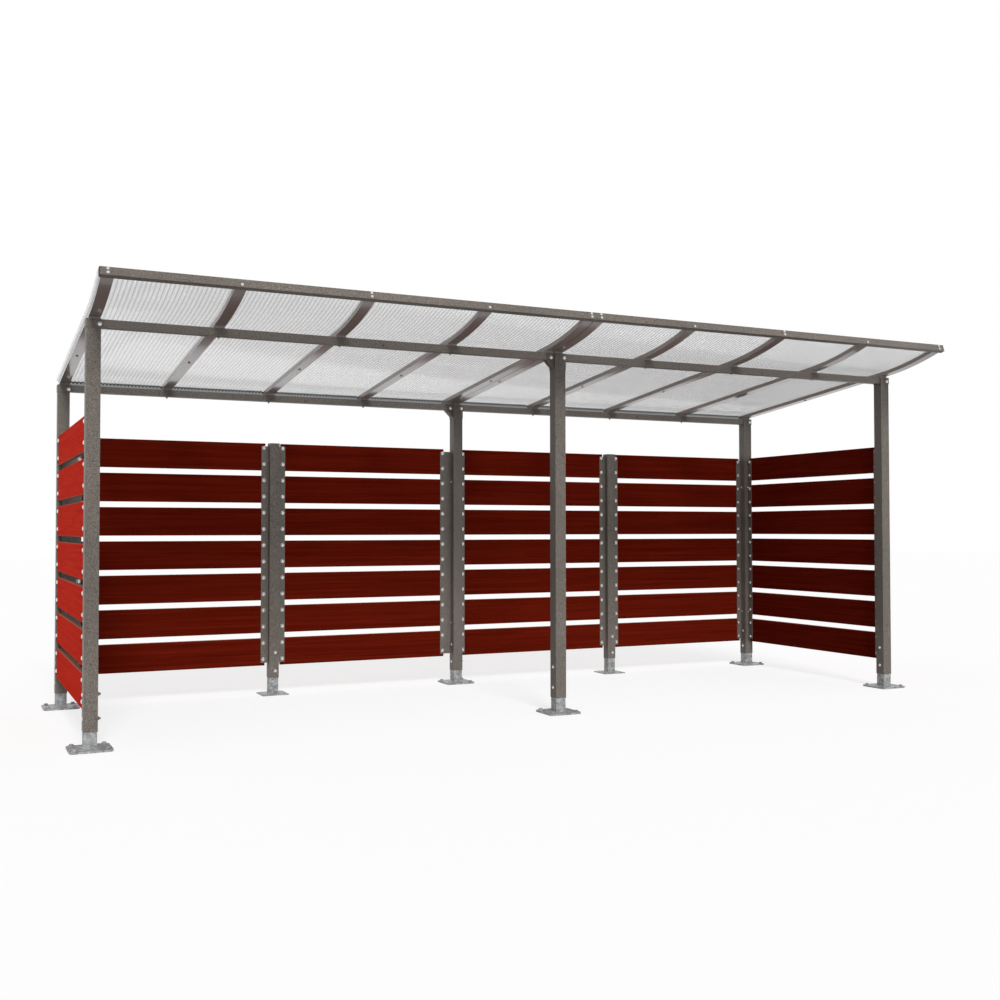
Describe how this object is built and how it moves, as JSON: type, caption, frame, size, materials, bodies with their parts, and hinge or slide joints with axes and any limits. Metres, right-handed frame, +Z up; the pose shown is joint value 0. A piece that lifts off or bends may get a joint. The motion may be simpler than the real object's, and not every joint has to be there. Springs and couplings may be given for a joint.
{
  "type": "bin shelter",
  "caption": "Open-fronted waste bin shelter: steel posts on foot plates, slatted timber walls on three sides and a curved corrugated roof.",
  "frame": {"origin": "on the ground, under the middle of the roof's outline", "axes": "+X along the open front, to the right as seen from it; +Y from the open front to the back wall; +Z up"},
  "size_m": [5.2, 2.0674, 2.2053],
  "materials": {
    "post_paint": "fine-textured satin powder coat",
    "head_paint": "fine-textured satin powder coat",
    "beam_paint": "fine-textured satin powder coat",
    "fascia_paint": "fine-textured satin powder coat",
    "rafter_paint": "fine-textured satin powder coat",
    "carrier_paint": "fine-textured satin powder coat",
    "foot_zinc": "hot-dip galvanised, mottled",
    "board": "red stain with horizontal grain",
    "roof_clear": "clear corrugated sheet"
  },
  "bodies": {
    "root": {"back_wall_left_a": "board", "back_wall_left_b": "board", "back_wall_right_a": "board", "back_wall_right_b": "board", "fascia_left": "fascia_paint", "fascia_right": "fascia_paint", "front_beam_left": "beam_paint", "front_beam_right": "beam_paint", "front_carriers": "carrier_paint", "front_feet": "foot_zinc", "front_post_heads": "head_paint", "front_post_left": "post_paint", "front_post_middle": "post_paint", "front_post_right": "post_paint", "gussets": "carrier_paint", "rafter_left_centre": "rafter_paint", "rafter_left_end": "rafter_paint", "rafter_left_inner": "rafter_paint", "rafter_left_joint": "rafter_paint", "rafter_left_outer": "rafter_paint", "rafter_right_centre": "rafter_paint", "rafter_right_end": "rafter_paint", "rafter_right_inner": "rafter_paint", "rafter_right_joint": "rafter_paint", "rafter_right_outer": "rafter_paint", "rear_beam_left": "beam_paint", "rear_beam_right": "beam_paint", "rear_carriers_left": "carrier_paint", "rear_carriers_middle": "carrier_paint", "rear_carriers_right": "carrier_paint", "rear_feet": "foot_zinc", "rear_post_heads": "head_paint", "rear_post_left": "post_paint", "rear_post_middle": "post_paint", "rear_post_right": "post_paint", "roof_sheet_1": "roof_clear", "roof_sheet_2": "roof_clear", "roof_sheet_3": "roof_clear", "roof_sheet_4": "roof_clear", "short_feet": "foot_zinc", "short_post_carriers": "carrier_paint", "short_post_left": "post_paint", "short_post_right": "post_paint", "side_wall_left": "board", "side_wall_right": "board"}
  },
  "joints": []
}
